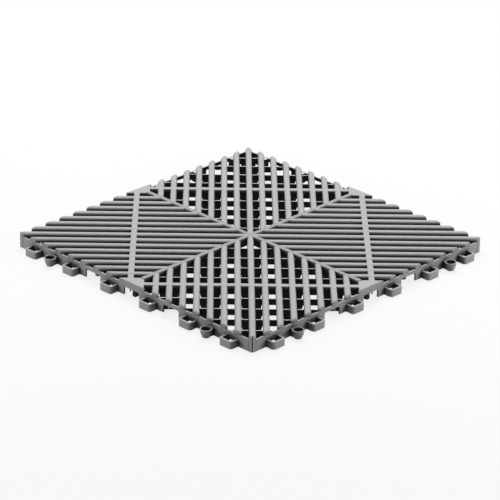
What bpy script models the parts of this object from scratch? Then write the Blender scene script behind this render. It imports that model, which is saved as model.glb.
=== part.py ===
"""Drainage floor tile: a 400 mm square moulded plastic grid of rounded ribs over thin webs.

Four square quadrants meet at a cross of walls. The ribs of each quadrant run along its diagonal,
towards the middle of the tile. Two neighbouring edges carry open loops, and the other two carry
pegs, under their ribs, that drop into the loops of the next tile.
"""

import math

import bmesh
import bpy
from mathutils import Matrix

MM = 0.001

# Overall
TILE = 400 * MM
HEIGHT = 20.4 * MM

# Ribs, which the foot treads on. The deck is the level of the web and edge wall tops, where they stand
RIB_DEPTH = 5.4 * MM
DECK = HEIGHT - RIB_DEPTH
RIB_PITCH = 16.1 * MM
RIB_WIDTH = 8 * MM
RIB_ROUND = 2.6 * MM
RIB_DROP = 0.2 * MM
RIB_FLAT = 3.6 * MM
RIB_TO_PLATE = 4 * MM

# Walls and webs
CROSS_WALL = 5.4 * MM
CROSS_GROOVE = 1.2 * MM
CROSS_GROOVE_DEPTH = 0.9 * MM
WEB = 1.6 * MM
WEB_START = 2.2 * MM
WEB_PITCH = 28.1 * MM
EDGE_WALL = 2.2 * MM

# The flat bar across the middle of each quadrant
BAR_WIDTH = 7.4 * MM
BAR_DROP = 0.8 * MM

# The flat triangle at the middle of each edge
PLATE_HALF = 23.4 * MM
PLATE_THICKNESS = 2.6 * MM
PLATE_SKIRT = 2.4 * MM

# Drain notches, wider at the floor
NOTCH_HEIGHT = 7 * MM
NOTCH_FLOOR = 27.6 * MM
NOTCH_TOP = 24 * MM
NOTCH_STEP_IN_RIBS = 3
CROSS_NOTCH_FLOOR = 24 * MM
EDGE_NOTCH = 26 * MM
EDGE_LINTEL = 2 * MM

# Couplings: loops on two edges, pegs on the other two
COUPLING_MODULE = 33.5 * MM
LOOP_BELOW_DECK = 5.7 * MM
LOOP_HEIGHT = DECK - LOOP_BELOW_DECK
LOOP_WIDTH = 20 * MM
LOOP_REACH = 12 * MM
LOOP_WALL = 2.8 * MM
LOOP_CORNER = 4 * MM
LOOP_CORNER_STEPS = 2
LOOP_PASSAGE = 7 * MM
CUP_BELOW_DECK = 4.4 * MM
CUP_HEIGHT = DECK - CUP_BELOW_DECK
CUP_OUT = 8.6 * MM
CUP_RIM_RADIUS = 7.5 * MM
CUP_FLOOR_RADIUS = 4.6 * MM
CUP_WALL = 1.6 * MM
CUP_SIDES = 12
CUP_NECK = 6 * MM
PEG_CLEARANCE = 1.2 * MM
PEG_BOTTOM = 1.5 * MM
PEG_ARM = 4 * MM
ROUND_PEG_SIDES = 8

# The pockets under the two peg edges, which take the next tile's loops
POCKET_CLEARANCE = 1 * MM
CUP_POCKET_CLEARANCE = 6 * MM

# Modelling helpers: how far shapes run past a cut, how far standing shapes start below the floor
# until the floor cut, and how deep joined shapes sit in each other
PAST = 8 * MM
BELOW = 2 * MM
BURY = 1 * MM
WELD_WITHIN = 0.001 * MM
FLAT_WITHIN = math.radians(0.5)

HALF = TILE / 2
ROOT2 = math.sqrt(2)
COLOUR = (0.42, 0.425, 0.43, 1)

# Coupling places are counted in modules from the middle of an edge: square loops at the odd ones
# that fit, a round loop just inside each last square one, and edge notches further in
LAST_SQUARE = int((HALF - LOOP_WIDTH) / COUPLING_MODULE + 1) // 2 * 2 - 1
SQUARE_PLACES = tuple(range(-LAST_SQUARE, LAST_SQUARE + 1, 2))
ROUND_PLACES = (1 - LAST_SQUARE, LAST_SQUARE - 1)
EDGE_NOTCH_PLACES = tuple(range(3 - LAST_SQUARE, LAST_SQUARE - 2, 2))

# An outline drawn in (across, up) stands on end, and its thickness runs along +X
STANDING = Matrix(((0, 0, 1, 0), (1, 0, 0, 0), (0, 1, 0, 0), (0, 0, 0, 1)))


def quarter_turn(count):
    return Matrix.Rotation(math.radians(90 * count), 4, "Z")


def diagonal(count):
    """The frame of a quadrant: +X runs from the middle of the tile to its corner."""
    return Matrix.Rotation(math.radians(45 + 90 * count), 4, "Z")


def new_collection(name, helpers):
    found = bpy.data.collections.new(name)
    bpy.context.scene.collection.children.link(found)
    found.hide_render = helpers
    return found


def moulded_plastic():
    material = bpy.data.materials.new("moulded_grey_plastic")
    material.use_nodes = True
    shader = material.node_tree.nodes["Principled BSDF"]
    shader.inputs["Base Color"].default_value = COLOUR
    shader.inputs["Roughness"].default_value = 0.5
    shader.inputs["Metallic"].default_value = 0.0
    return material


def mesh_object(name, mesh, matrix, collection):
    """An object in a collection, hidden and drawn as wire where that one holds helpers."""
    obj = bpy.data.objects.new(name, mesh)
    obj.matrix_world = matrix
    collection.objects.link(obj)
    obj.hide_render = collection.hide_render
    obj.display_type = "WIRE" if collection.hide_render else "TEXTURED"
    return obj


def prism(name, outlines, thickness, matrix, collection):
    """Closed outlines as one flat curve, given a thickness to both sides and made a mesh."""
    curve = bpy.data.curves.new(name, "CURVE")
    curve.dimensions = "2D"
    curve.fill_mode = "BOTH"
    curve.extrude = thickness / 2
    for points in outlines:
        spline = curve.splines.new("POLY")
        spline.points.add(len(points) - 1)
        for point, (x, y) in zip(spline.points, points):
            point.co = (x, y, 0, 1)
        spline.use_cyclic_u = True
    drawn = bpy.data.objects.new(name + "_outline", curve)
    bpy.context.scene.collection.objects.link(drawn)
    bpy.context.view_layer.update()
    graph = bpy.context.evaluated_depsgraph_get()
    mesh = bpy.data.meshes.new_from_object(drawn.evaluated_get(graph))
    bpy.data.objects.remove(drawn)
    weld(mesh)
    return mesh_object(name, mesh, matrix, collection)


def weld(mesh):
    """Joins a curve's caps to its sides, and makes each flat cap one face again."""
    shape = bmesh.new()
    shape.from_mesh(mesh)
    bmesh.ops.remove_doubles(shape, verts=shape.verts, dist=WELD_WITHIN)
    bmesh.ops.dissolve_limit(
        shape, angle_limit=FLAT_WITHIN, verts=shape.verts, edges=shape.edges
    )
    bmesh.ops.recalc_face_normals(shape, faces=shape.faces)
    shape.to_mesh(mesh)
    shape.free()


def box(name, low, high, matrix, collection):
    """A cube primitive whose corners are brought exactly to the two given."""
    mesh = bpy.data.meshes.new(name)
    shape = bmesh.new()
    bmesh.ops.create_cube(shape, size=1)
    for corner in shape.verts:
        ends = zip(corner.co, low, high)
        corner.co = [upper if side > 0 else lower for side, lower, upper in ends]
    shape.to_mesh(mesh)
    shape.free()
    return mesh_object(name, mesh, matrix, collection)


def boolean(obj, name, operation, other):
    modifier = obj.modifiers.new(name, "BOOLEAN")
    modifier.operation = operation
    modifier.solver = "EXACT"
    if isinstance(other, bpy.types.Collection):
        modifier.operand_type = "COLLECTION"
        modifier.collection = other
    else:
        modifier.object = other
    return modifier


def rectangle(x0, x1, y0, y1):
    return [(x0, y0), (x1, y0), (x1, y1), (x0, y1)]


def rib_section(middle):
    """A rib seen from its end: straight sides and a crown of a flat between two slopes."""
    side = RIB_WIDTH / 2
    crest = HEIGHT - RIB_DROP
    crown = [(side, crest - RIB_ROUND), (RIB_FLAT / 2, crest)]
    crown += [(-x, z) for x, z in reversed(crown)]
    return [(middle + x, z) for x, z in [(-side, DECK), (side, DECK)] + crown]


def plate_inner():
    """How far the inner edge of a mid-edge plate is from the quadrant's diagonal."""
    return (HALF - PLATE_HALF) / ROOT2


def skirt_section(side):
    """The plain leg under the edge of a mid-edge plate, where the next rib would be."""
    edges = sorted((side * plate_inner(), side * (plate_inner() + PLATE_SKIRT)))
    return rectangle(*edges, DECK, HEIGHT - PLATE_THICKNESS / 2)


def ribs(count, collection):
    """The comb of ribs of one quadrant, all in one drawing of their sections."""
    each_side = int((plate_inner() - RIB_TO_PLATE - RIB_WIDTH / 2) / RIB_PITCH)
    sections = [rib_section(k * RIB_PITCH) for k in range(-each_side, each_side + 1)]
    sections += [skirt_section(-1), skirt_section(1)]
    length = TILE * ROOT2
    return prism(f"ribs_{count}", sections, length, diagonal(count) @ STANDING, collection)


def notched_outline(half_length, top, notch_middles, floor_width):
    """A wall standing on the floor, with a trapezoid notch at each of the middles."""
    slope = (NOTCH_FLOOR - NOTCH_TOP) / 2 / NOTCH_HEIGHT
    low = -BELOW
    points = [(half_length, low), (half_length, top), (-half_length, top), (-half_length, low)]
    for middle in sorted(notch_middles):
        at_low = floor_width / 2 - slope * low
        at_top = floor_width / 2 - slope * NOTCH_HEIGHT
        points.append((middle - at_low, low))
        points.append((middle - at_top, NOTCH_HEIGHT))
        points.append((middle + at_top, NOTCH_HEIGHT))
        points.append((middle + at_low, low))
    return points


def web_places():
    """How far each web is from the middle of the tile, along the quadrant's diagonal."""
    count = int(((HALF - EDGE_WALL) * ROOT2 - WEB_START) / WEB_PITCH)
    return [WEB_START + WEB_PITCH * (m + 1) for m in range(count)]


def web_notches():
    """The middles of the notches that fit along the longest web, the same to both sides."""
    step = NOTCH_STEP_IN_RIBS * RIB_PITCH
    count = int((HALF / ROOT2 - NOTCH_FLOOR / 2) / step + 0.5)
    middles = [step * (n + 0.5) for n in range(count)]
    return [-m for m in reversed(middles)] + middles


def webs(count, collection):
    """The webs of one quadrant as separate plates across the ribs."""
    outline = notched_outline(HALF / ROOT2 + PAST, DECK, web_notches(), NOTCH_FLOOR)
    made = []
    for number, distance in enumerate(web_places()):
        matrix = diagonal(count) @ Matrix.Translation((distance, 0, 0)) @ STANDING
        made.append(prism(f"web_{count}_{number}", [outline], WEB, matrix, collection))
    return made


def bar(count, collection):
    """The flat bar over the web nearest to the line from one mid-edge plate to the next."""
    middle = min(web_places(), key=lambda place: abs(place - HALF / ROOT2))
    top = HEIGHT - BAR_DROP
    low = (middle - BAR_WIDTH / 2, -HALF / ROOT2 + BURY, DECK)
    high = (middle + BAR_WIDTH / 2, HALF / ROOT2 - BURY, top)
    return box(f"bar_{count}", low, high, diagonal(count), collection)


def quadrant_square(count, collection):
    """The square that a quadrant fills, from inside the cross walls to past the tile's edge."""
    start = CROSS_WALL / 2 - BURY
    low = (start, start, -PAST)
    high = (HALF + PAST, HALF + PAST, HEIGHT + PAST)
    return box(f"quadrant_square_{count}", low, high, quarter_turn(count), collection)


def add_quadrants(structure, cutters):
    for count in range(4):
        square = quadrant_square(count, cutters)
        pieces = [ribs(count, structure), bar(count, structure), *webs(count, structure)]
        for piece in pieces:
            boolean(piece, "keep_in_quadrant", "INTERSECT", square)


def cross_notches():
    """One notch between each two webs that meet the cross wall."""
    meets = [CROSS_WALL / 2] + [x * ROOT2 for x in web_places() if x * ROOT2 < HALF]
    middles = [(a + b) / 2 for a, b in zip(meets[1:], meets[2:])]
    return [-m for m in reversed(middles)] + middles


def add_cross_walls(structure):
    outline = notched_outline(HALF + PAST, HEIGHT, cross_notches(), CROSS_NOTCH_FLOOR)
    for count in range(2):
        matrix = quarter_turn(count) @ STANDING
        prism(f"cross_wall_{count}", [outline], CROSS_WALL, matrix, structure)


def edge_frame(count):
    """The frame of an edge: +Y points out of the tile, and X runs along the edge."""
    return quarter_turn(count)


def is_loop_edge(count):
    """The edges that face +X and -Y carry loops."""
    return count in (2, 3)


def add_plate(count, structure):
    """The triangle at the middle of an edge, level with the ribs."""
    out = HALF + PAST
    wide = PLATE_HALF + PAST
    outline = [(0, HALF - PLATE_HALF), (wide, out), (-wide, out)]
    matrix = edge_frame(count) @ Matrix.Translation((0, 0, HEIGHT - PLATE_THICKNESS / 2))
    prism(f"plate_{count}", [outline], PLATE_THICKNESS, matrix, structure)


def add_edge_wall(count, structure):
    """The wall round the outside, up to the deck, and up to the plate at the middle of the edge."""
    low = (-HALF - PAST, HALF - EDGE_WALL, -BELOW)
    high = (HALF + PAST, HALF + PAST, DECK)
    box(f"edge_wall_{count}", low, high, edge_frame(count), structure)
    low = (-PLATE_HALF, HALF - EDGE_WALL, DECK - BURY)
    high = (PLATE_HALF, HALF + PAST, HEIGHT - PLATE_THICKNESS / 2)
    box(f"plate_front_{count}", low, high, edge_frame(count), structure)


def pocket_height(step):
    return (LOOP_HEIGHT if step in SQUARE_PLACES else CUP_HEIGHT) + POCKET_CLEARANCE


def pocket_depth(step):
    reach = LOOP_REACH if step in SQUARE_PLACES else CUP_OUT + CUP_RIM_RADIUS
    return reach + POCKET_CLEARANCE


def pocket_half_width(step):
    if step in SQUARE_PLACES:
        return LOOP_WIDTH / 2 + POCKET_CLEARANCE
    return CUP_RIM_RADIUS + CUP_POCKET_CLEARANCE


def add_footprint(cutters):
    low = (-HALF, -HALF, -PAST)
    return box("footprint", low, (HALF, HALF, HEIGHT + PAST), Matrix(), cutters)


def add_edge_notch(count, step, cuts):
    middle = step * COUPLING_MODULE
    low = (middle - EDGE_NOTCH / 2, HALF - EDGE_WALL - BURY, -PAST)
    high = (middle + EDGE_NOTCH / 2, HALF + PAST, DECK - EDGE_LINTEL)
    box(f"edge_notch_{count}_{step}", low, high, edge_frame(count), cuts)


def add_pocket(count, step, cuts):
    """The room under a peg edge for one loop of the next tile."""
    middle = step * COUPLING_MODULE
    wide = pocket_half_width(step)
    low = (middle - wide, HALF - pocket_depth(step), -PAST)
    high = (middle + wide, HALF + PAST, pocket_height(step))
    box(f"pocket_{count}_{step}", low, high, edge_frame(count), cuts)


def add_loop_passage(count, step, cuts):
    """The low opening through the edge wall behind a square loop, as wide as the loop inside."""
    middle = step * COUPLING_MODULE
    wide = LOOP_WIDTH / 2 - LOOP_WALL
    low = (middle - wide, HALF - EDGE_WALL - BURY, -PAST)
    high = (middle + wide, HALF + PAST, LOOP_PASSAGE)
    box(f"loop_passage_{count}_{step}", low, high, edge_frame(count), cuts)


def add_cross_groove(count, cuts):
    """The shallow groove along the top of a cross wall, from one plate to the one across."""
    end = HALF - PLATE_HALF
    low = (-end, -CROSS_GROOVE / 2, HEIGHT - CROSS_GROOVE_DEPTH)
    high = (end, CROSS_GROOVE / 2, HEIGHT + PAST)
    box(f"cross_groove_{count}", low, high, quarter_turn(count), cuts)


def add_cuts(cuts):
    for count in range(2):
        add_cross_groove(count, cuts)
    for count in range(4):
        for step in EDGE_NOTCH_PLACES:
            add_edge_notch(count, step, cuts)
        if is_loop_edge(count):
            for step in SQUARE_PLACES:
                add_loop_passage(count, step, cuts)
        else:
            for step in SQUARE_PLACES + ROUND_PLACES:
                add_pocket(count, step, cuts)


def arc(centre, radius, start, turn, steps):
    angles = [math.radians(start + turn * n / steps) for n in range(steps + 1)]
    return [(centre[0] + radius * math.cos(a), centre[1] + radius * math.sin(a)) for a in angles]


def loop_outline():
    """A square loop seen from above: a U with rounded corners, whose legs start in the wall."""
    back = HALF - EDGE_WALL + BURY / 2
    outer_x, outer_y = LOOP_WIDTH / 2, HALF + LOOP_REACH
    bend, steps = LOOP_CORNER, LOOP_CORNER_STEPS
    inner_x, inner_y = outer_x - LOOP_WALL, outer_y - LOOP_WALL
    inner_bend = bend - LOOP_WALL
    points = [(outer_x, back)]
    points += arc((outer_x - bend, outer_y - bend), bend, 0, 90, steps)
    points += arc((-outer_x + bend, outer_y - bend), bend, 90, 90, steps)
    points += [(-outer_x, back), (-inner_x, back)]
    points += arc((-inner_x + inner_bend, inner_y - inner_bend), inner_bend, 180, -90, 1)
    points += arc((inner_x - inner_bend, inner_y - inner_bend), inner_bend, 90, -90, 1)
    points += [(inner_x, back)]
    return points


def add_square_loop(count, step, couplings):
    height = LOOP_HEIGHT + BELOW
    lift = Matrix.Translation((step * COUPLING_MODULE, 0, LOOP_HEIGHT - height / 2))
    name = f"square_loop_{count}_{step}"
    prism(name, [loop_outline()], height, edge_frame(count) @ lift, couplings)


def turned(name, profile, steps, matrix, collection):
    """A profile of (radius, height) points swept round the Z axis with a Screw."""
    mesh = bpy.data.meshes.new(name)
    shape = bmesh.new()
    corners = [shape.verts.new((radius, 0, height)) for radius, height in profile]
    for first, second in zip(corners, corners[1:]):
        shape.edges.new((first, second))
    if profile[0][0] > 0:
        shape.edges.new((corners[-1], corners[0]))
    shape.to_mesh(mesh)
    shape.free()
    obj = mesh_object(name, mesh, matrix, collection)
    screw = obj.modifiers.new("turn", "SCREW")
    screw.steps = steps
    screw.render_steps = steps
    screw.use_merge_vertices = True
    screw.merge_threshold = WELD_WITHIN
    screw.use_smooth_shade = False
    return obj


def cup_radius(height):
    return CUP_FLOOR_RADIUS + (CUP_RIM_RADIUS - CUP_FLOOR_RADIUS) * height / CUP_HEIGHT


def add_round_loop(count, step, couplings):
    """A round tapered cup, open through, on a neck that joins it to the wall."""
    frame = edge_frame(count) @ Matrix.Translation((step * COUPLING_MODULE, 0, 0))
    ends = [(cup_radius(CUP_HEIGHT), CUP_HEIGHT), (cup_radius(-BELOW), -BELOW)]
    inner = [(radius - CUP_WALL, height) for radius, height in reversed(ends)]
    spot = frame @ Matrix.Translation((0, HALF + CUP_OUT, 0))
    turned(f"round_loop_{count}_{step}", ends + inner, CUP_SIDES, spot, couplings)
    neck = [(HALF + CUP_OUT - radius + CUP_WALL / 2, height) for radius, height in ends]
    neck += [(HALF - EDGE_WALL / 2, height) for radius, height in reversed(ends)]
    prism(f"cup_neck_{count}_{step}", [neck], CUP_NECK, frame @ STANDING, couplings)


def add_square_peg(count, step, couplings):
    """A peg that fills the next tile's square loop with clearance, and hangs from the edge wall."""
    frame = edge_frame(count) @ Matrix.Translation((step * COUPLING_MODULE, 0, 0))
    across = LOOP_WIDTH / 2 - LOOP_WALL - PEG_CLEARANCE
    nearest, furthest = PEG_CLEARANCE, LOOP_REACH - LOOP_WALL - PEG_CLEARANCE
    low = (-across, HALF - furthest, PEG_BOTTOM)
    box(f"square_peg_{count}_{step}", low, (across, HALF - nearest, DECK), frame, couplings)


def add_round_peg(count, step, couplings):
    """A tapered pin for the next tile's cup, on an arm from the edge wall."""
    frame = edge_frame(count) @ Matrix.Translation((step * COUPLING_MODULE, 0, 0))
    wide = cup_radius(CUP_HEIGHT) - CUP_WALL - PEG_CLEARANCE
    thin = cup_radius(PEG_BOTTOM) - CUP_WALL - PEG_CLEARANCE
    profile = [(0, DECK), (wide, DECK), (wide, pocket_height(step)), (thin, PEG_BOTTOM)]
    profile.append((0, PEG_BOTTOM))
    spot = frame @ Matrix.Translation((0, HALF - CUP_OUT, 0))
    turned(f"round_peg_{count}_{step}", profile, ROUND_PEG_SIDES, spot, couplings)
    low = (-PEG_ARM / 2, HALF - CUP_OUT, pocket_height(step))
    high = (PEG_ARM / 2, HALF - EDGE_WALL + BURY, DECK)
    box(f"peg_arm_{count}_{step}", low, high, frame, couplings)


def add_couplings(couplings):
    for count in range(4):
        for step in sorted(SQUARE_PLACES + ROUND_PLACES):
            square = step in SQUARE_PLACES
            if is_loop_edge(count):
                add = add_square_loop if square else add_round_loop
            else:
                add = add_square_peg if square else add_round_peg
            add(count, step, couplings)


def add_floor_cut(cutters):
    low = (-TILE, -TILE, -PAST)
    return box("floor_cut", low, (TILE, TILE, 0), Matrix(), cutters)


def build_tile():
    tile_parts = new_collection("drainage_floor_tile", False)
    structure = new_collection("structure_shapes", True)
    cuts = new_collection("cut_shapes", True)
    couplings = new_collection("coupling_shapes", True)
    cutters = new_collection("trimming_shapes", True)

    add_quadrants(structure, cutters)
    add_cross_walls(structure)
    for count in range(4):
        add_plate(count, structure)
        add_edge_wall(count, structure)
    add_cuts(cuts)
    add_couplings(couplings)

    hub = CROSS_WALL
    tile = box("floor_tile", (-hub, -hub, -BELOW), (hub, hub, DECK - BURY), Matrix(), tile_parts)
    tile.data.materials.append(moulded_plastic())
    boolean(tile, "join_structure", "UNION", structure)
    boolean(tile, "trim_to_footprint", "INTERSECT", add_footprint(cutters))
    boolean(tile, "cut_openings", "DIFFERENCE", cuts)
    boolean(tile, "join_couplings", "UNION", couplings)
    boolean(tile, "trim_to_floor", "DIFFERENCE", add_floor_cut(cutters))
    return tile


for old in list(bpy.data.objects):
    bpy.data.objects.remove(old)

build_tile()
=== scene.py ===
# %% [markdown]
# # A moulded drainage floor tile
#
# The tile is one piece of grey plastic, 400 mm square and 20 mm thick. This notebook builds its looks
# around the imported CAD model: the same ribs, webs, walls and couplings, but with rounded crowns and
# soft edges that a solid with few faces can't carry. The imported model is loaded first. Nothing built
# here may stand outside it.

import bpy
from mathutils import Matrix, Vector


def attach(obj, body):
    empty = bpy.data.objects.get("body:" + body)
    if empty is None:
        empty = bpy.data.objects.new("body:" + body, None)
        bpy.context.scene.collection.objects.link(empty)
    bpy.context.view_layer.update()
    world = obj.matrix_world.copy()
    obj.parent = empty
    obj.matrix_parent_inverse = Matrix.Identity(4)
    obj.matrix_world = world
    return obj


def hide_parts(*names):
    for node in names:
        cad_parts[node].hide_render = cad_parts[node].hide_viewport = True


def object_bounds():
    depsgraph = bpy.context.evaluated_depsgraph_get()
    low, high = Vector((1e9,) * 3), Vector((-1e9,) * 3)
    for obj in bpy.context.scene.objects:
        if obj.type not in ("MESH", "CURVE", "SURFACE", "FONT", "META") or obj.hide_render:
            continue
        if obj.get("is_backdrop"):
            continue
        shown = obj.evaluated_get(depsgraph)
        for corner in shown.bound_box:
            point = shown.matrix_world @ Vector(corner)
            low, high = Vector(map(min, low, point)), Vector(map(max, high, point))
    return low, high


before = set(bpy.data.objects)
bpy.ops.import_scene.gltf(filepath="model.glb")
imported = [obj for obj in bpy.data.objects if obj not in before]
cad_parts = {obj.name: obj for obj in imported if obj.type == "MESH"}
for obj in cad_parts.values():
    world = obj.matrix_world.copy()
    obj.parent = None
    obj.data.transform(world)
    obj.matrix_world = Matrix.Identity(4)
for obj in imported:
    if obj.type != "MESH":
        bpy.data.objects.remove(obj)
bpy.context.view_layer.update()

# %% [markdown]
# ## Sizes
#
# Sizes are in metres, and each is named once: here where several pieces share it, and otherwise in the
# cell of its piece. They follow the solid model, apart from a few that were moved a little to match
# the photograph more closely. Working with names instead of bare numbers keeps ribs, webs and walls in
# step when one of them changes.

# %% Name the sizes
import math

import bmesh
import bpy
import numpy as np
from mathutils import Matrix, Vector

MM = 0.001
ROOT2 = math.sqrt(2)
HALF = 200 * MM
HEIGHT = 20.4 * MM
DECK = 15 * MM            # tops of the webs and edge walls, on which the ribs stand
SINK = 0.4 * MM           # how far what stands on the deck reaches into it

RIB_PITCH = 16.1 * MM
RIB_WIDTH = 8 * MM
RIB_CREST = 20.2 * MM
RIBS = range(-7, 8)

CROSS_WALL = 5.4 * MM
EDGE_WALL = 2.2 * MM
PLATE_HALF = 21.4 * MM    # from the middle of an edge to a corner of its plate
WEBS = 9

MODULE = 33.5 * MM        # from one coupling place to the next
SQUARE_PLACES = (-5, -3, -1, 1, 3, 5)
ROUND_PLACES = (-4, 4)
LOOP_EDGES = (2, 3)
PEG_EDGES = (0, 1)
print("ribs in each quadrant:", len(RIBS), " webs:", WEBS)

# %% [markdown]
# ## Lofting closed shells
#
# Everything on this tile is a profile that runs along a path: a rib, a wall, the side of a loop. The
# handiest way to build such shapes is to place copies of the profile, called rings, along the path
# and to join each ring to the next with quads. Curves with a bevel would do it too, but rings can
# follow slanted ends and changing heights exactly. Each casting gathers shells of one kind, and
# becomes one helper object for the Boolean that comes later.

# %% A casting gathers lofted shells
class Casting:
    made = []

    def __init__(self, name, operation="UNION"):
        self.name, self.operation, self.shape = name, operation, bmesh.new()
        Casting.made.append(self)

    def loft(self, rings, caps=None, closed=False):
        """Quads between rings. Caps are lists of point numbers on the two end rings."""
        loops = [[self.shape.verts.new(point) for point in ring] for ring in rings]
        count = len(rings[0])
        following = loops[1:] + loops[:1] if closed else loops[1:]
        for near, far in zip(loops, following):
            for i in range(count):
                j = (i + 1) % count
                self.shape.faces.new((near[i], near[j], far[j], far[i]))
        for loop in () if closed else (loops[0], loops[-1]):
            for cap in caps or [range(count)]:
                self.shape.faces.new([loop[i] for i in cap])

    def to_object(self):
        bmesh.ops.recalc_face_normals(self.shape, faces=self.shape.faces)
        mesh = bpy.data.meshes.new(self.name)
        self.shape.to_mesh(mesh)
        self.shape.free()
        return bpy.data.objects.new(self.name, mesh)


print("castings so far:", len(Casting.made))

# %% Sections that many pieces share
def fillet(radius, steps=3):
    """How far in from an edge, and how far below its top, each point of a rounded edge is."""
    turns = [math.pi / 2 * n / steps for n in range(steps + 1)]
    return [(radius * (1 - math.sin(t)), radius * (1 - math.cos(t))) for t in turns]


def rectangle(left, right, bottom, top):
    return [(left, bottom), (right, bottom), (right, top), (left, top)]


def rounded_section(half, bottom, top, radius, steps=3):
    """(side, height) round an upright section with rounded upper edges, from right foot to left foot."""
    right = [(half, bottom)]
    right += [(half - inset, top - drop) for inset, drop in reversed(fillet(radius, steps))]
    return right + [(-side, height) for side, height in reversed(right)]


print("a 1 mm fillet:", [(round(i, 2), round(d, 2)) for i, d in fillet(1)])

# %% [markdown]
# ## Ribs
#
# The ribs are what a foot or a tyre meets: fifteen in each quarter of the tile, all along that
# quarter's diagonal, so that the pattern turns by a right angle from one quarter to the next. Each
# rib has a gently domed crown on a thin stem, as moulded ribs do, and its outer end rounds over and
# drops flush with the tile's edge.
#
# A quarter has its own frame: `along` runs from the middle of the tile to the corner, and `across`
# is square to it. In that frame the tile's straight edges are lines at 45 degrees, so the ends of a
# rib follow from one formula for each point of its section.

# %% Where a point of a quarter lies
def quarter_point(quarter, along, across, height):
    turn = math.radians(45 + 90 * quarter)
    x = along * math.cos(turn) - across * math.sin(turn)
    y = along * math.sin(turn) + across * math.cos(turn)
    return Vector((x, y, height))


def inner_end(across, into=0.5 * MM):
    """Where a line along a quarter starts, a little inside the cross walls."""
    return (CROSS_WALL / 2 - into) * ROOT2 + abs(across)


def outer_end(across):
    return HALF * ROOT2 - abs(across)


print("the middle rib is", round(1000 * (outer_end(0) - inner_end(0)), 1), "mm long")

# %% Build the ribs
RIB_CROWN = 3.2 * MM      # how much lower the crown's sides are than its crest
CROWN_STEPS = 6
TIP = 2.2 * MM            # how far the long side of a slanted end may pass the end's middle
END_ROUND = 2.6 * MM
END_STEPS = 6


def rib_section():
    """(offset, height) of a rib's section, with point numbers of its bottom and crest middles."""
    side = RIB_WIDTH / 2
    turns = [math.pi * n / (2 * CROWN_STEPS) for n in range(2 * CROWN_STEPS + 1)]
    crown = [(side * math.cos(t), RIB_CREST - RIB_CROWN * (1 - math.sin(t))) for t in turns]
    foot = [(0, DECK - SINK), (side, DECK - SINK), (side, DECK)]
    return foot + crown + [(-side, DECK), (-side, DECK - SINK)], 0, len(foot) + CROWN_STEPS


def rib_ring(section, quarter, middle, end, back=0, drop=0):
    """A section at an end of a rib, moved back from it and flattened towards the deck."""
    ring = []
    left = 1 - drop / (RIB_CREST - DECK)
    for offset, height in section:
        across = middle + offset
        hidden = SINK if height < DECK else 0
        raised = DECK + (height - DECK) * left if height > DECK else height
        if end == "inner":
            along = inner_end(across) + back
        else:
            along = min(outer_end(across), outer_end(middle) + TIP) - back - hidden
        ring.append(quarter_point(quarter, along, across, raised))
    return ring


# The middle rib's ends come to a point, so each cap is two faces that meet in the section's middle.
ribs = Casting("ribs")
section, low_middle, high_middle = rib_section()
caps = [range(low_middle, high_middle + 1), [*range(high_middle, len(section)), low_middle]]
for quarter in range(4):
    for number in RIBS:
        middle = number * RIB_PITCH
        rings = [rib_ring(section, quarter, middle, "inner")]
        for back, drop in fillet(END_ROUND, END_STEPS):
            rings.append(rib_ring(section, quarter, middle, "outer", back, drop))
        ribs.loft(rings, caps)
print("rib points:", len(ribs.shape.verts))

# %% Give each rib its stem
STEM = 1.6 * MM
STEM_BOTTOM = 7 * MM
STEM_SHORT = 1 * MM       # how far short of the tile's edge a stem ends

stems = Casting("rib_stems")
for quarter in range(4):
    for number in RIBS:
        middle = number * RIB_PITCH
        corners = rectangle(middle - STEM / 2, middle + STEM / 2, STEM_BOTTOM, DECK + SINK)
        stems.loft([[quarter_point(quarter, inner_end(a), a, z) for a, z in corners],
                    [quarter_point(quarter, outer_end(a) - STEM_SHORT, a, z) for a, z in corners]])
print("stems:", 4 * len(RIBS))

# %% [markdown]
# ## Walls with openings at the floor
#
# Under the ribs stand thin webs, and a cross of thicker walls divides the quarters. All of them have
# notches at the floor through which water runs off. A wall is lofted from upright sections, and the
# underside of each section follows the notches: `underside` gives the height of the opening at every
# place where it changes. A Boolean could cut the notches, but this way each wall is clean from the
# start and keeps few faces.

# %% The underside of a notched wall
LEAN = 0.05 * MM          # how far the nearly upright sides of an opening lean


def trapezoid(middle, floor_width, top_width, height):
    low, high = floor_width / 2, top_width / 2
    return [(middle - low, 0), (middle - high, height), (middle + high, height), (middle + low, 0)]


def arch(start, stop, height, radius):
    """An opening with nearly upright sides and rounded upper corners."""
    rise = [(LEAN + inset, height - drop) for inset, drop in reversed(fillet(radius))]
    left = [(start, 0)] + sorted((start + x, z) for x, z in rise)
    right = [(stop + start - x, z) for x, z in reversed(left)]
    return left + right


def underside(openings, start, stop):
    """(place, height) of a wall's underside from start to stop."""
    places = {start, stop}
    for opening in openings:
        places |= {place for place, _ in opening if start < place < stop}
    found = []
    for place in sorted(places):
        heights = [np.interp(place, *zip(*opening), left=0, right=0) for opening in openings]
        found.append((place, float(max(heights, default=0))))
    return found


print("arch:", [(round(1000 * x, 2), round(1000 * z, 2)) for x, z in arch(0, 0.026, 0.013, 0.002)])

# %% Loft a wall
WALL_ROUND = 0.4 * MM


def wall(casting, stations, thickness, top, point, rounding=WALL_ROUND):
    """A wall through the stations of its underside. point(place, side, height) puts it in the tile."""
    rings = []
    for place, low in stations:
        around = rounded_section(thickness / 2, low, top, rounding, steps=2)
        rings.append([point(place, side, height) for side, height in around])
    casting.loft(rings)


print("walls have edges rounded by", round(1000 * WALL_ROUND, 2), "mm unless told otherwise")

# %% [markdown]
# ### Webs
#
# Nine thin webs cross the ribs of each quarter. The next tile's loops slip in under two of the edges,
# so near those edges the webs are cut away up to the pocket height. Whether a point of a web is in
# such a pocket is tested in steps of half a millimetre, which is plenty for a cut that is never seen
# from above.

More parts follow.
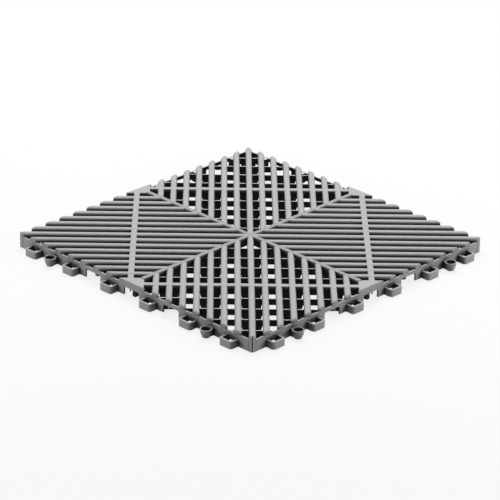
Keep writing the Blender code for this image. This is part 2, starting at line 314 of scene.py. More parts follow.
# %% Pockets under the peg edges
LOOP_HEIGHT = 9.3 * MM
LOOP_WIDTH = 20 * MM
LOOP_REACH = 12 * MM
CUP_OUT = 8.6 * MM
CUP_RADIUS = 7.5 * MM
CUP_HEIGHT = 10.6 * MM
CLEARANCE = 1 * MM
CUP_CLEARANCE = 7 * MM    # to each side of a cup, where the photograph shows wide pockets
POCKET_HEIGHT = LOOP_HEIGHT + CLEARANCE


def edge_point(edge, place, out, height):
    """A point at a place along an edge and a distance out from the middle of the tile."""
    turn = math.radians(90 * edge)
    x = place * math.cos(turn) - out * math.sin(turn)
    y = place * math.sin(turn) + out * math.cos(turn)
    return Vector((x, y, height))


def pocket(step):
    """(start, stop, depth) of the pocket for one of the next tile's loops."""
    if step in SQUARE_PLACES:
        wide, depth = LOOP_WIDTH / 2 + CLEARANCE, LOOP_REACH + CLEARANCE
    else:
        wide, depth = CUP_RADIUS + CUP_CLEARANCE, CUP_OUT + CUP_RADIUS + CLEARANCE
    return step * MODULE - wide, step * MODULE + wide, depth


def in_pocket(x, y):
    for edge in PEG_EDGES:
        turn = math.radians(-90 * edge)
        place = x * math.cos(turn) - y * math.sin(turn)
        out = x * math.sin(turn) + y * math.cos(turn)
        for step in SQUARE_PLACES + ROUND_PLACES:
            start, stop, depth = pocket(step)
            if start < place < stop and out > HALF - depth:
                return True
    return False


print("pockets:", [[round(1000 * v) for v in pocket(step)] for step in (3, 4, 5)])

# %% Where a web is cut away
POCKET_STEP = 0.5 * MM


def web_pockets(quarter, along, reach):
    """The stretches of a web that are cut away for pockets, as openings."""
    steps = np.arange(-reach, reach, POCKET_STEP)
    inside = [in_pocket(*quarter_point(quarter, along, across, 0).xy) for across in steps]
    changes = [0, *(np.flatnonzero(np.diff(inside)) + 1), len(steps)]
    for first, last in zip(changes, changes[1:]):
        if inside[first]:
            start, stop = float(steps[first]), float(steps[last - 1]) + POCKET_STEP
            yield [(start - LEAN, 0), (start, POCKET_HEIGHT), (stop, POCKET_HEIGHT), (stop + LEAN, 0)]


print("cuts in a web 250 mm out:", len(list(web_pockets(0, 0.25, 0.03))))

# %% Build the webs
WEB = 1.6 * MM
FIRST_WEB = 30.3 * MM
WEB_PITCH = 28.1 * MM
WEB_ROUND = 0.15 * MM
WEB_INTO = 1 * MM         # how far a web reaches into the cross walls
WEB_SHORT = 1.5 * MM      # how far short of the tile's edge it ends
NOTCH_HEIGHT = 7 * MM
NOTCH = (27.6 * MM, 24 * MM)
NOTCH_PITCH = 3 * RIB_PITCH
LAST_NOTCH = 140 * MM     # a web's outermost notches, closer to their neighbours than the rest

web_places = [FIRST_WEB + WEB_PITCH * n for n in range(WEBS)]
notch_places = [NOTCH_PITCH * (n + 0.5) for n in range(-3, 3)] + [-LAST_NOTCH, LAST_NOTCH]
notches = [trapezoid(place, *NOTCH, NOTCH_HEIGHT) for place in notch_places]

webs = Casting("webs")
for quarter in range(4):
    for along in web_places:
        reach = min(along - (CROSS_WALL / 2 - WEB_INTO) * ROOT2, HALF * ROOT2 - along - WEB_SHORT)
        openings = notches + list(web_pockets(quarter, along, reach))

        def on_web(place, side, height, quarter=quarter, along=along):
            return quarter_point(quarter, along + side, place, height)

        wall(webs, underside(openings, -reach, reach), WEB, DECK, on_web, WEB_ROUND)
print("web points:", len(webs.shape.verts))

# %% [markdown]
# ### The cross and the edge walls
#
# The cross walls rise to the tread, a hair above the ribs, and run on under the mid-edge plates with
# their tops at the deck. The edge walls stop at the deck too, so the rib ends stand on them. They
# have arched openings for water, on the two peg edges openings for the next tile's loops, and on the
# two loop edges a low passage behind each square loop.

# %% Build the cross walls
CROSS_NOTCH = (24 * MM, 20.4 * MM, NOTCH_HEIGHT)
CENTRE_NOTCH = (44 * MM, 40 * MM, 8.5 * MM)
CROSS_ROUND = 1 * MM
LOW_CROSS_WALL = 5 * MM
INTO_PLATE = 3.5 * MM     # how far the tall wall runs into the plate
FROM_EDGE = 4.2 * MM      # how far from the tile's edge the low wall ends

meets = [along * ROOT2 for along in web_places if along * ROOT2 < HALF]
notch_middles = [(a + b) / 2 for a, b in zip(meets, meets[1:])]
cross_notches = [trapezoid(side * middle, *CROSS_NOTCH) for middle in notch_middles for side in (-1, 1)]
cross_notches.append(trapezoid(0, *CENTRE_NOTCH))
for turn in range(2):
    tall, low = Casting(f"cross_wall_{turn}"), Casting(f"low_cross_wall_{turn}")
    reach, recessed = HALF - PLATE_HALF + INTO_PLATE, HALF - FROM_EDGE

    def on_cross(place, side, height, turn=turn):
        return edge_point(turn, place, side, height)

    wall(tall, underside(cross_notches, -reach, reach), CROSS_WALL, HEIGHT, on_cross, CROSS_ROUND)
    wall(low, underside(cross_notches, -recessed, recessed), LOW_CROSS_WALL, DECK, on_cross)
print("notches in each cross wall:", len(cross_notches))

# %% Build the edge walls
WATER_ARCH = (26 * MM, 10.5 * MM, 2 * MM)         # width, height and corner radius
PASSAGE_ARCH = (14.4 * MM, 5 * MM, 1.5 * MM)
POCKET_CORNER = 1.5 * MM
WATER_PLACES = (-2, 0, 2)
EDGE_ROUND = 0.3 * MM


def arch_at(step, width, height, radius):
    return arch(step * MODULE - width / 2, step * MODULE + width / 2, height, radius)


def edge_openings(edge):
    found = [arch_at(step, *WATER_ARCH) for step in WATER_PLACES]
    if edge in LOOP_EDGES:
        return found + [arch_at(step, *PASSAGE_ARCH) for step in SQUARE_PLACES]
    for step in SQUARE_PLACES + ROUND_PLACES:
        start, stop, _ = pocket(step)
        found.append(arch(start, stop, POCKET_HEIGHT, POCKET_CORNER))
    return found


for edge in range(4):
    casting = Casting(f"edge_wall_{edge}")

    def on_edge(place, side, height, edge=edge):
        return edge_point(edge, place, HALF - EDGE_WALL / 2 + side, height)

    stations = underside(edge_openings(edge), -HALF, HALF)
    wall(casting, stations, EDGE_WALL, DECK, on_edge, EDGE_ROUND)
print("stations on the last edge wall:", len(stations))

# %% [markdown]
# ## Bars and mid-edge plates
#
# A flat bar crosses the middle of each quarter over its fifth web, and runs into a flat triangular
# plate at the middle of each edge. These level faces catch the light most evenly, so their edges are
# rounded in the mesh. Under each plate a low front closes the edge, and two slim legs stand where the
# next ribs would be.

# %% Build the bars
BAR_WIDTH = 7.4 * MM
BAR_TOP = 19.6 * MM
BAR_ROUND = 1.2 * MM
BAR_REACH = 132 * MM      # from its middle to an end, inside a plate

bars = Casting("bars")
bar_middle = web_places[WEBS // 2]
bar_section = rounded_section(BAR_WIDTH / 2, DECK - SINK, BAR_TOP, BAR_ROUND)
for quarter in range(4):
    bars.loft([[quarter_point(quarter, bar_middle + side, across, height) for side, height in bar_section]
               for across in (-BAR_REACH, BAR_REACH)])
print("bar middle at", round(1000 * bar_middle, 1), "mm from the middle of the tile")

# %% Build the plates
PLATE_TOP = BAR_TOP
PLATE_THICKNESS = 2.6 * MM
PLATE_ROUND = 1.5 * MM


def plate_ring(edge, inset, height):
    """The plate's triangle, drawn in from its three sides."""
    tip = HALF - PLATE_HALF + inset * ROOT2
    base = HALF - inset
    wide = base - tip
    corners = [(0, tip), (wide, base), (-wide, base)]
    return [edge_point(edge, place, out, height) for place, out in corners]


plates = Casting("plates")
for edge in range(4):
    rings = [plate_ring(edge, 0, PLATE_TOP - PLATE_THICKNESS)]
    rings += [plate_ring(edge, i, PLATE_TOP - d) for i, d in reversed(fillet(PLATE_ROUND))]
    plates.loft(rings)
print("plate points:", len(plates.shape.verts))

# %% Stand the plates on fronts and legs
UNDER_PLATE = PLATE_TOP - 1.8 * MM     # tops of fronts and legs, inside the plate
TUCK = 0.3 * MM                        # how far their ends keep inside the tile's and plate's outlines
LEG = 2.4 * MM

fronts = Casting("plate_fronts")
front_section = rectangle(HALF - EDGE_WALL, HALF, DECK - SINK, UNDER_PLATE)
for edge in range(4):
    fronts.loft([[edge_point(edge, side * (PLATE_HALF - TUCK), out, z) for out, z in front_section]
                 for side in (-1, 1)])

legs = Casting("plate_legs")
leg_start = (HALF - PLATE_HALF) / ROOT2
for quarter in range(4):
    for side in (-1, 1):
        corners = rectangle(side * leg_start, side * (leg_start + LEG), DECK - SINK, UNDER_PLATE)
        legs.loft([[quarter_point(quarter, inner_end(a), a, z) for a, z in corners],
                   [quarter_point(quarter, outer_end(a) - TUCK, a, z) for a, z in corners]])
print("fronts:", len(fronts.shape.faces) // 6, " legs:", len(legs.shape.faces) // 6)

# %% [markdown]
# ## Couplings
#
# Two neighbouring edges carry loops, which the next tile's pegs drop into: six square ones with
# rounded corners, and two round cups that narrow towards the floor. The other two edges carry the
# pegs, which hang from the deck inside their pockets. A square loop is an upright strip swept round a
# closed path: its front half stands proud of the edge, and its back half closes the hole inside the
# edge wall, a little above the floor. A thin bead arches over the hole on the face of the wall. A cup
# is a profile turned round its own axis.

# %% Sweep the square loops
LOOP_WALL = 2.8 * MM
LOOP_CORNER = 3.6 * MM
LOOP_ROUND = 0.5 * MM
LOOP_BACK = 12 * MM       # how far inside the edge the middle of its back wall is
LOOP_FOOT = 1.3 * MM      # how far its back half stays above the floor
FOOT_RISE = 0.1 * MM      # half the stretch, inside the edge wall, in which its foot rises to that


def arc(centre, radius, start, turn, steps=6):
    angles = [math.radians(start + turn * n / steps) for n in range(steps + 1)]
    return [(centre[0] + radius * math.cos(a), centre[1] + radius * math.sin(a)) for a in angles]


def loop_path():
    """The middle line of a loop's wall from above: a closed rounded rectangle across the edge wall."""
    bend = LOOP_CORNER - LOOP_WALL / 2
    side, front = (LOOP_WIDTH - LOOP_WALL) / 2 - bend, HALF + LOOP_REACH - LOOP_WALL / 2 - bend
    back = HALF - LOOP_BACK + bend
    middles = [(side, front), (-side, front), (-side, back), (side, back)]
    turns = [arc(middle, bend, 90 * n, 90) for n, middle in enumerate(middles)]
    inner, outer = (HALF - EDGE_WALL / 2 + rise for rise in (-FOOT_RISE, FOOT_RISE))
    at_wall = (LOOP_WIDTH - LOOP_WALL) / 2
    turns.insert(2, [(-at_wall, outer), (-at_wall, inner)])
    turns.append([(at_wall, inner), (at_wall, outer)])
    return [point for turn in turns for point in turn]


def sweep(casting, path, section, point):
    """The section, as (side, height), carried round a closed path on the floor."""
    ends = [path[-1], *path, path[0]]
    rings = []
    for before, (x, y), after in zip(ends, path, ends[2:]):
        run = Vector((after[0] - before[0], after[1] - before[1])).normalized()
        foot = LOOP_FOOT if y < HALF - EDGE_WALL / 2 else 0
        rings.append([point(x + run.y * side, y - run.x * side, max(z, foot)) for side, z in section])
    casting.loft(rings, closed=True)


loop_section = rounded_section(LOOP_WALL / 2, 0, LOOP_HEIGHT, LOOP_ROUND)
loops = Casting("square_loops")
for edge in LOOP_EDGES:
    for step in SQUARE_PLACES:
        def beside_edge(x, y, z, edge=edge, step=step):
            return edge_point(edge, x + step * MODULE, y, z)

        sweep(loops, loop_path(), loop_section, beside_edge)
print("square loops:", len(LOOP_EDGES) * len(SQUARE_PLACES))

# %% Arch a bead over each square loop
BEAD = 0.8 * MM           # its radius
BEAD_HALF = (LOOP_WIDTH - LOOP_WALL) / 2
BEAD_RISE = 3.4 * MM
BEAD_IN = 0.15 * MM       # how far its middle line lies inside the face of the wall
BEAD_STEPS = 12


def bead_ring(edge, middle, turn, sides=8):
    """A ring round the bead, at a turn along the half ellipse from one side of a loop to the other."""
    outward = Vector((math.cos(turn) / BEAD_HALF, math.sin(turn) / BEAD_RISE)).normalized()
    ring = []
    for n in range(sides):
        tilt = 2 * math.pi * n / sides
        place = BEAD_HALF * math.cos(turn) + BEAD * math.cos(tilt) * outward.x
        height = LOOP_HEIGHT - BEAD + BEAD_RISE * math.sin(turn) + BEAD * math.cos(tilt) * outward.y
        ring.append(edge_point(edge, middle + place, HALF - BEAD_IN + BEAD * math.sin(tilt), height))
    return ring


beads = Casting("loop_beads")
bead_turns = [math.pi * n / BEAD_STEPS for n in range(BEAD_STEPS + 1)]
for edge in LOOP_EDGES:
    for step in SQUARE_PLACES:
        beads.loft([bead_ring(edge, step * MODULE, turn) for turn in bead_turns])
print("points in the beads:", len(beads.shape.verts))

# %% Turn the round cups
CUP_FLOOR = 4.6 * MM      # radius at the floor
CUP_WALL = 1.5 * MM
CUP_BULGE = 0.6 * MM
CUP_ROUND = 0.6 * MM      # at the rim's outer edge
LIP_ROUND = 0.4 * MM      # at its inner edge
CUP_STEPS = 8
CUP_SIDES = 40


def cup_radius(height):
    """The cup's outside, which swells a little between floor and rim."""
    rise = height / CUP_HEIGHT
    return CUP_FLOOR + (CUP_RADIUS - CUP_FLOOR) * rise + CUP_BULGE * math.sin(math.pi * rise) ** 2


def cup_profile():
    """(radius, height) up the outside, over the rim and down the inside."""
    heights = [CUP_HEIGHT * n / CUP_STEPS for n in range(CUP_STEPS)]
    outside = [(cup_radius(z), z) for z in heights]
    rim = [(CUP_RADIUS - i, CUP_HEIGHT - d) for i, d in reversed(fillet(CUP_ROUND))]
    lip = [(CUP_RADIUS - CUP_WALL + i, CUP_HEIGHT - d) for i, d in fillet(LIP_ROUND)]
    inside = [(cup_radius(z) - CUP_WALL, z) for z in reversed(heights)]
    return outside + rim + lip + inside


def cup_ring(edge, step, turn):
    return [edge_point(edge, step * MODULE + r * math.cos(turn), HALF + CUP_OUT + r * math.sin(turn), z)
            for r, z in cup_profile()]


cups = Casting("round_cups")
cup_turns = [2 * math.pi * n / CUP_SIDES for n in range(CUP_SIDES)]
for edge in LOOP_EDGES:
    for step in ROUND_PLACES:
        cups.loft([cup_ring(edge, step, turn) for turn in cup_turns], closed=True)
print("points round a cup:", CUP_SIDES)

# %% Join the cups to the edge wall by necks
NECK_HALF = 3.5 * MM

necks = Casting("cup_necks")
ends = [(CUP_FLOOR, 0), (CUP_RADIUS, CUP_HEIGHT - CUP_ROUND)]
neck_outline = [(HALF + CUP_OUT - radius + CUP_WALL / 2, z) for radius, z in ends]
neck_outline += [(HALF - EDGE_WALL / 2, z) for _, z in reversed(ends)]
for edge in LOOP_EDGES:
    for step in ROUND_PLACES:
        necks.loft([[edge_point(edge, step * MODULE + side, out, z) for out, z in neck_outline]
                    for side in (-NECK_HALF, NECK_HALF)])
print("necks:", len(LOOP_EDGES) * len(ROUND_PLACES))

# %% Hang the square pegs in their pockets
PEG_GAP = 1.2 * MM        # between a peg and the loop round it
PEG_LOW = 1.5 * MM
PEG_TOP = DECK - 0.1 * MM
PEG_ROUND = 0.8 * MM


def box_ring(edge, start, stop, near, far, height):
    return [edge_point(edge, place, out, height) for place, out in rectangle(start, stop, near, far)]


square_pegs = Casting("square_pegs")
across = LOOP_WIDTH / 2 - LOOP_WALL - PEG_GAP
near, far = HALF - LOOP_REACH + LOOP_WALL + PEG_GAP, HALF - PEG_GAP
for edge in PEG_EDGES:
    for step in SQUARE_PLACES:
        start, stop = step * MODULE - across, step * MODULE + across
        rings = [box_ring(edge, start + i, stop - i, near + i, far - i, PEG_LOW + d)
                 for i, d in fillet(PEG_ROUND)]
        square_pegs.loft([*rings, box_ring(edge, start, stop, near, far, PEG_TOP)])
print("square pegs:", len(PEG_EDGES) * len(SQUARE_PLACES))

# %% Hang the round pegs from arms
ROUND_PEG = CUP_RADIUS - CUP_WALL - PEG_GAP
ROUND_PEG_LOW = 9.4 * MM
ROUND_PEG_TOP = 12.4 * MM
TAPER = (1.2 * MM, 0.5 * MM)           # how far in, and how high, at a round peg's lower edge
ARM_HALF = 2 * MM
ARM_OUT = HALF - 1 * MM
ARM_TOP = ROUND_PEG_TOP - 0.2 * MM


def circle_ring(edge, place, out, radius, height, sides=32):
    turns = [2 * math.pi * n / sides for n in range(sides)]
    return [edge_point(edge, place + radius * math.cos(t), out + radius * math.sin(t), height)
            for t in turns]


round_pegs, peg_arms = Casting("round_pegs"), Casting("peg_arms")
for edge in PEG_EDGES:
    for step in ROUND_PLACES:
        spot = (edge, step * MODULE, HALF - CUP_OUT)
        round_pegs.loft([circle_ring(*spot, ROUND_PEG - TAPER[0], ROUND_PEG_LOW),
                         circle_ring(*spot, ROUND_PEG, ROUND_PEG_LOW + TAPER[1]),
                         circle_ring(*spot, ROUND_PEG, ROUND_PEG_TOP)])
        sides = (step * MODULE - ARM_HALF, step * MODULE + ARM_HALF, HALF - CUP_OUT, ARM_OUT)
        peg_arms.loft([box_ring(edge, *sides, POCKET_HEIGHT), box_ring(edge, *sides, ARM_TOP)])
print("round pegs:", len(PEG_EDGES) * len(ROUND_PLACES))

# %% [markdown]
# ## Seams
#
# Fine seams are cut last. Two shallow grooves run along the tops of the cross walls, where the
# quarters meet, and end at the plates. The others are upright: at each corner of the tile one slot
# through its nose, and one thin line in the wall to each side of it, where the corner rib ends.

# %% Cut the grooves in the cross walls
GROOVE_BOTTOM = 0.5 * MM  # its width at the bottom
GROOVE_TOP = 0.9 * MM     # its width a little above the wall
GROOVE_DEPTH = 0.4 * MM
ABOVE = 0.3 * MM          # how far its cutter reaches above the wall

groove = [(-GROOVE_BOTTOM / 2, HEIGHT - GROOVE_DEPTH), (GROOVE_BOTTOM / 2, HEIGHT - GROOVE_DEPTH),
          (GROOVE_TOP / 2, HEIGHT + ABOVE), (-GROOVE_TOP / 2, HEIGHT + ABOVE)]
for turn in range(2):
    seam = Casting(f"cross_seam_{turn}", "DIFFERENCE")
    seam.loft([[edge_point(turn, place, side, height) for side, height in groove]
               for place in (PLATE_HALF - HALF, HALF - PLATE_HALF)])
print("the grooves are", round(1000 * GROOVE_DEPTH, 1), "mm deep")

# %% Cut the upright seams at the corners
CORNER_POST = 5.7 * MM    # from a corner to the line in the wall beside it
LINE_HALF = 0.3 * MM      # half its width, and its depth
NOSE_HALF = 0.5 * MM
NOSE_DEPTH = 2.4 * MM
PAST = 1 * MM             # how far a cutter reaches past what it cuts

corner_seams = Casting("corner_seams", "DIFFERENCE")
corner = HALF * ROOT2
nose = rectangle(corner - NOSE_DEPTH, corner + PAST, -NOSE_HALF, NOSE_HALF)
for edge in range(4):
    for place in (CORNER_POST - HALF, HALF - CORNER_POST):
        sides = (place - LINE_HALF, place + LINE_HALF, HALF - LINE_HALF, HALF + LINE_HALF)
        corner_seams.loft([box_ring(edge, *sides, height) for height in (-PAST, DECK + PAST)])
    corner_seams.loft([[quarter_point(edge, along, across, height) for along, across in nose]
                       for height in (-PAST, HEIGHT + PAST)])
print("upright seams:", len(corner_seams.shape.faces) // 6)

# %% [markdown]
# ## One moulded piece
#
# The real tile left its mould in one piece, so the shells are united. Blender's Manifold solver does
# in a second or two what the Exact solver needs a minute for, as long as every operand is closed.
# After that no inner faces are left, and edges can be told from flats by their angle: flat faces
# stay crisp and crowns and corners shade smoothly.

# %% Unite the shells
SHARP = math.radians(40)

helpers = bpy.data.collections.new("castings")
bpy.context.scene.collection.children.link(helpers)
shells = [casting.to_object() for casting in Casting.made]
for shell in shells:
    helpers.objects.link(shell)
tile = bpy.data.objects.new("moulded_tile", shells[0].data.copy())
bpy.context.scene.collection.objects.link(tile)
for casting, shell in zip(Casting.made[1:], shells[1:]):
    step = tile.modifiers.new(shell.name, "BOOLEAN")
    step.operation, step.solver, step.object = casting.operation, "MANIFOLD", shell
graph = bpy.context.evaluated_depsgraph_get()
united = bpy.data.meshes.new_from_object(tile.evaluated_get(graph))
tile.modifiers.clear()
tile.data = united
for shell in shells:
    bpy.data.objects.remove(shell)
bpy.data.collections.remove(helpers)
tile.data.shade_smooth()
tile.data.set_sharp_from_angle(angle=SHARP)
tile.data.calc_loop_triangles()
print("triangles in the tile:", len(tile.data.loop_triangles))

# %% Put the tile in the frame
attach(tile, "root")
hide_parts("floor_tile")
print("the tile stands for the CAD node floor_tile")

# %% [markdown]
# ## Moulded plastic
#
# The plastic is a neutral mid-grey with a satin surface. Seen close, such a surface has a fine grain
# from the mould, faint streaks where the melt flowed, and slightly lighter, smoother edges where
# feet and trolleys rub. A painted highlight on the web tops draws them as pale lines between the ribs.
# Deep between the ribs and inside the edge hardly any light arrives, and the real tile looks black
# there. Studio light alone leaves such places grey, so the colour itself falls off with depth, and
# an Ambient Occlusion node tells how open each place is. Everything comes from noise and measures in
# object space, so the tile needs no unwrapping.
#
# A small class makes the node maths readable: wrap a socket, and `+`, `*` and the others add Math
# nodes.

# %% A socket that understands arithmetic
class Wire:
    """An output socket. Arithmetic on it adds Math nodes to the same tree."""

    def __init__(self, tree, socket):
        self.tree, self.socket = tree, socket

    def node(self, kind, output=0, settings=None, **inputs):
        """A wire from a new node. Inputs are values or wires, by socket name or by number as in i0."""
        made = self.tree.nodes.new(kind)
        for name, value in (settings or {}).items():
            setattr(made, name, value)
        for name, value in inputs.items():
            target = made.inputs[int(name[1:]) if name[1:].isdigit() else name.replace("_", " ")]
            if isinstance(value, Wire):
                self.tree.links.new(value.socket, target)
            else:
                target.default_value = value
        return Wire(self.tree, made.outputs[output])

    def maths(self, operation, *values):
        sockets = {f"i{n}": value for n, value in enumerate(values)}
        return self.node("ShaderNodeMath", settings={"operation": operation}, **sockets)

    def feeds(self, target):
        self.tree.links.new(self.socket, target)

    def __add__(self, other):
        return self.maths("ADD", self, other)

    def __radd__(self, other):
        return self.maths("ADD", other, self)

    def __sub__(self, other):
        return self.maths("SUBTRACT", self, other)

    def __rsub__(self, other):
        return self.maths("SUBTRACT", other, self)

    def __mul__(self, other):
        return self.maths("MULTIPLY", self, other)

    def __rmul__(self, other):
        return self.maths("MULTIPLY", other, self)

    def __pow__(self, other):
        return self.maths("POWER", self, other)

    def __rpow__(self, other):
        return self.maths("POWER", other, self)

    def __abs__(self):
        return self.maths("ABSOLUTE", self)


print("Wire knows + - * ** and abs()")

# %% Steps that the finishes share
def grey(shade):
    return (shade, shade, shade, 1)


def highest(first, *others):
    for other in others:
        first = first.maths("MAXIMUM", first, other)
    return first


def ramp(value, low, high):
    """0 at low and 1 at high, with nothing outside that."""
    return value.node("ShaderNodeMapRange", Value=value, From_Min=low, From_Max=high)


def colour_mix(factor, first, second):
    return factor.node("ShaderNodeMix", 2, {"data_type": "RGBA"}, i0=factor, i6=first, i7=second)


def split(vector):
    """Wires for the X, Y and Z of a vector."""
    first = vector.node("ShaderNodeSeparateXYZ", Vector=vector)
    return [Wire(first.tree, socket) for socket in first.socket.node.outputs]


def noise(place, scale, detail, stretch=(1, 1, 1)):
    sized = place.node("ShaderNodeMapping", Vector=place, Scale=stretch)
    return place.node("ShaderNodeTexNoise", "Fac", Vector=sized, Scale=scale, Detail=detail)


print("a mid grey:", grey(0.5))

# %% How much light reaches each place
OPEN_WITHIN = 40 * MM     # surfaces nearer than this shut a place in


def painted_light_masks(place, normal):
    """Masks of the places that light reaches, and of the web tops that get a painted highlight."""
    x, y, z = split(place)
    openness = place.node("ShaderNodeAmbientOcclusion", "AO", {"samples": 8, "only_local": True},
                          Distance=OPEN_WITHIN)
    from_middle = highest(abs(x), abs(y))
    outside = ramp(from_middle, HALF - 1.6 * MM, HALF - 0.8 * MM)
    indoors = ramp(from_middle, HALF - EDGE_WALL, HALF - EDGE_WALL - 0.4 * MM)
    facing_up = ramp(split(normal)[2], 0.45, 0.8)
    rising = ramp(z, DECK - 1 * MM, RIB_CREST - 0.6 * MM) ** 1.5
    on_deck = ramp(z, DECK - 1.2 * MM, DECK - 0.6 * MM)
    open_side = outside * ramp(openness, 0.5, 0.97)
    open_gap = rising * ramp(openness, 0.3, 0.85)
    above = facing_up * highest(outside, on_deck)
    # level tops at the deck inside the edge walls, mostly the webs, which get a painted highlight
    web_top_highlight = facing_up * on_deck * indoors * ramp(z, DECK + 0.6 * MM, DECK + 0.2 * MM)
    return highest(open_side, open_gap, above), web_top_highlight


print("a place counts as shut in by what is within", round(1000 * OPEN_WITHIN), "mm")

# %% Mix the plastic
GREY = (0.43, 0.433, 0.437, 1)
DEEP_GREY = (0.395, 0.398, 0.402, 1)              # in faint clouds over the grey
WORN_GREY = (0.5, 0.503, 0.507, 1)                # along rubbed edges
SHADED_GREY = (0.013, 0.013, 0.014, 1)            # where no light arrives
# a painted highlight that lightens the tops of the webs
PAINTED_HIGHLIGHT_GREY = grey(0.8)
CLOUDS, STREAKS, GRAIN = 9, 60, 1400              # noise scales, in repeats a metre
SOFT_EDGE = 0.45 * MM                             # radius of the edges that only the shading rounds
GRAIN_DEPTH = 0.15 * MM


def moulded_plastic():
    material = bpy.data.materials.new("moulded_plastic")
    material.use_nodes = True
    tree = material.node_tree
    shader = tree.nodes["Principled BSDF"]
    place = Wire(tree, tree.nodes.new("ShaderNodeTexCoord").outputs["Object"])
    normal = place.node("ShaderNodeNewGeometry", "Normal")
    rounded = place.node("ShaderNodeBevel", settings={"samples": 6}, Radius=SOFT_EDGE)

    clouds = noise(place, CLOUDS, 3)
    streaks = noise(place, STREAKS, 2, (1, 1, 0.2))
    grain = noise(place, GRAIN, 2)
    turned = place.node("ShaderNodeVectorMath", "Value", {"operation": "DOT_PRODUCT"},
                        i0=rounded, i1=normal)
    worn = ramp(turned, 1.0, 0.8) * (0.35 + 0.5 * streaks)
    lit, web_top_highlight = painted_light_masks(place, normal)

    body = colour_mix(clouds, DEEP_GREY, GREY)
    # a painted highlight on the web tops, then painted shade where little light arrives
    highlighted = colour_mix(web_top_highlight, colour_mix(worn, body, WORN_GREY), PAINTED_HIGHLIGHT_GREY)
    colour_mix(lit, SHADED_GREY, highlighted).feeds(shader.inputs["Base Color"])
    roughness = 0.75 - 0.3 * lit + 0.1 * grain - 0.06 * worn
    roughness.feeds(shader.inputs["Roughness"])
    bump = place.node("ShaderNodeBump", Strength=0.12, Distance=GRAIN_DEPTH,
                      Height=0.7 * grain + 0.3 * streaks, Normal=rounded)
    bump.feeds(shader.inputs["Normal"])
    shader.inputs["Metallic"].default_value = 0.0
    shader.inputs["IOR"].default_value = 1.49
    shader.inputs["Specular IOR Level"].default_value = 0.3
    return material


tile.data.materials.clear()
tile.data.materials.append(moulded_plastic())
print("material nodes:", len(tile.data.materials[0].node_tree.nodes))

# %% [markdown]
# ## Floor, light and world
#
# The tile lies on a pale studio floor under a broad soft lamp, with two small ones low at its sides
# for its walls. The floor should look white without more light than the tile wants, so most of what
# the camera sees of it is plain white: Light Path's Is Camera Ray picks that, and rays that glossy
# and clear surfaces send out see the same white. The rest is an ordinary pale surface, which keeps
# the tile's shadow. For light that bounces on, floor and sky are darker, so that the inside of the
# tile stays dark.

# %% Lay the floor
FLOOR_HALF = 4
FLOOR_THICKNESS = 0.02
SEEN_FLOOR, BOUNCING_FLOOR = grey(0.85), grey(0.15)
PLAIN_WHITE = 0.8                                 # the share of plain white in what is seen


def white_to_the_eye(tree):
    """1 for what is seen, straight, mirrored or through something clear, and 0 for bounced light."""
    paths = tree.nodes.new("ShaderNodeLightPath")
    return highest(*(Wire(tree, paths.outputs[name])
                     for name in ("Is Camera Ray", "Is Glossy Ray", "Is Transmission Ray")))


def floor_material():
    material = bpy.data.materials.new("pale_floor")
    material.use_nodes = True
    tree = material.node_tree
    shader = tree.nodes["Principled BSDF"]
    shader.inputs["Roughness"].default_value = 0.9
    seen = white_to_the_eye(tree)
    colour_mix(seen, BOUNCING_FLOOR, SEEN_FLOOR).feeds(shader.inputs["Base Color"])
    white = seen.node("ShaderNodeEmission", Color=grey(1), Strength=1.0)
    mixed = seen.node("ShaderNodeMixShader", i0=seen * PLAIN_WHITE, i1=Wire(tree, shader.outputs[0]),
                      i2=white)
    mixed.feeds(tree.nodes["Material Output"].inputs["Surface"])
    return material


slab = Casting("floor")
slab.loft([[(x, y, z) for x, y in rectangle(-FLOOR_HALF, FLOOR_HALF, -FLOOR_HALF, FLOOR_HALF)]
           for z in (-FLOOR_THICKNESS, 0)])
floor = slab.to_object()
bpy.context.scene.collection.objects.link(floor)
floor.data.materials.append(floor_material())
floor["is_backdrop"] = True
print("floor:", tuple(round(v, 2) for v in floor.dimensions))

# %% Give the world its colour
SEEN_SKY, BOUNCING_SKY = grey(1), grey(0.25)

world = bpy.data.worlds.new("studio")
bpy.context.scene.world = world
world.use_nodes = True
background = world.node_tree.nodes["Background"]
background.inputs["Strength"].default_value = 1.0
seen = white_to_the_eye(world.node_tree)
colour_mix(seen, BOUNCING_SKY, SEEN_SKY).feeds(background.inputs["Color"])
print("world nodes:", len(world.node_tree.nodes))

# %% Light it softly
SIDE_LAMPS = {"left_softbox": ((-0.7, -1.1, 0.4), 5.5), "right_softbox": ((1.1, 0.7, 0.4), 7)}


def softbox(name, place, size, power):
    """A soft rectangular lamp that faces the middle of the tile."""
    lamp = bpy.data.lights.new(name, "AREA")
    lamp.shape, lamp.size, lamp.size_y, lamp.energy = "RECTANGLE", *size, power
    obj = bpy.data.objects.new(name, lamp)
    obj.location = place
    obj.rotation_euler = (-Vector(place)).to_track_quat("-Z", "Y").to_euler()
    bpy.context.scene.collection.objects.link(obj)
    return obj


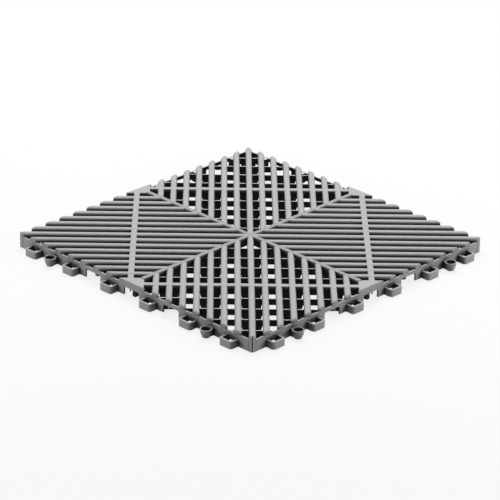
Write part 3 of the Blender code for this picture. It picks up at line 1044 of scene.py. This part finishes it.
softbox("top_softbox", (-0.65, 0.65, 1.5), (1.4, 1.4), 27)
for name, (place, power) in SIDE_LAMPS.items():
    lamp = softbox(name, place, (0.6, 0.4), power)
    lamp.visible_glossy = False      # so low a lamp would glare on the level faces

# %% [markdown]
# ## Camera
#
# The photograph looks across the tile from corner to corner, from well back with a long lens. The
# corners and ribs fix the camera: it is 3.28 m away and about 25 degrees above the floor. The frame
# is built from three directions: where it looks, its right and its up, turned by a small roll.

# %% Place the camera
AZIMUTH, ELEVATION, ROLL = (math.radians(v) for v in (0.928, 24.591, 1.035))
DISTANCE = 3.2818
AIM = Vector((0.000376, -0.00636, 0.0014))
NUDGE = (-0.6 * MM, 0.5 * MM)                             # to the camera's right, and up
PICTURE = 500                                             # pixels from side to side
FOCAL = 2674.5                                            # focal length, in those pixels
SENSOR = 36                                               # width, in millimetres

towards = Matrix.Rotation(math.radians(45), 3, "Z")       # from the picture's axes to the tile's
look = Vector((math.sin(AZIMUTH) * math.cos(ELEVATION), math.cos(AZIMUTH) * math.cos(ELEVATION),
               -math.sin(ELEVATION)))
level = Vector((math.cos(AZIMUTH), -math.sin(AZIMUTH), 0))
upright = level.cross(look)
right = math.cos(ROLL) * level + math.sin(ROLL) * upright
up = math.cos(ROLL) * upright - math.sin(ROLL) * level
axes = [towards @ v for v in (right, up, -look)]

camera = bpy.data.objects.new("camera", bpy.data.cameras.new("camera"))
bpy.context.scene.collection.objects.link(camera)
camera.data.lens, camera.data.sensor_width = FOCAL / PICTURE * SENSOR, SENSOR
camera.data.clip_start, camera.data.clip_end = 0.1, 20
turned = Matrix(axes).transposed().to_4x4()
place = AIM - look * DISTANCE + right * NUDGE[0] + up * NUDGE[1]
camera.matrix_world = Matrix.Translation(towards @ place) @ turned
bpy.context.scene.camera = camera
bpy.context.scene.view_settings.view_transform = "Standard"
print("camera at", [round(v, 3) for v in camera.matrix_world.translation])

# %% Print the visual box and finish
low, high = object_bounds()
print("visual box in mm:", [round(1000 * v, 1) for v in (*low, *high)])
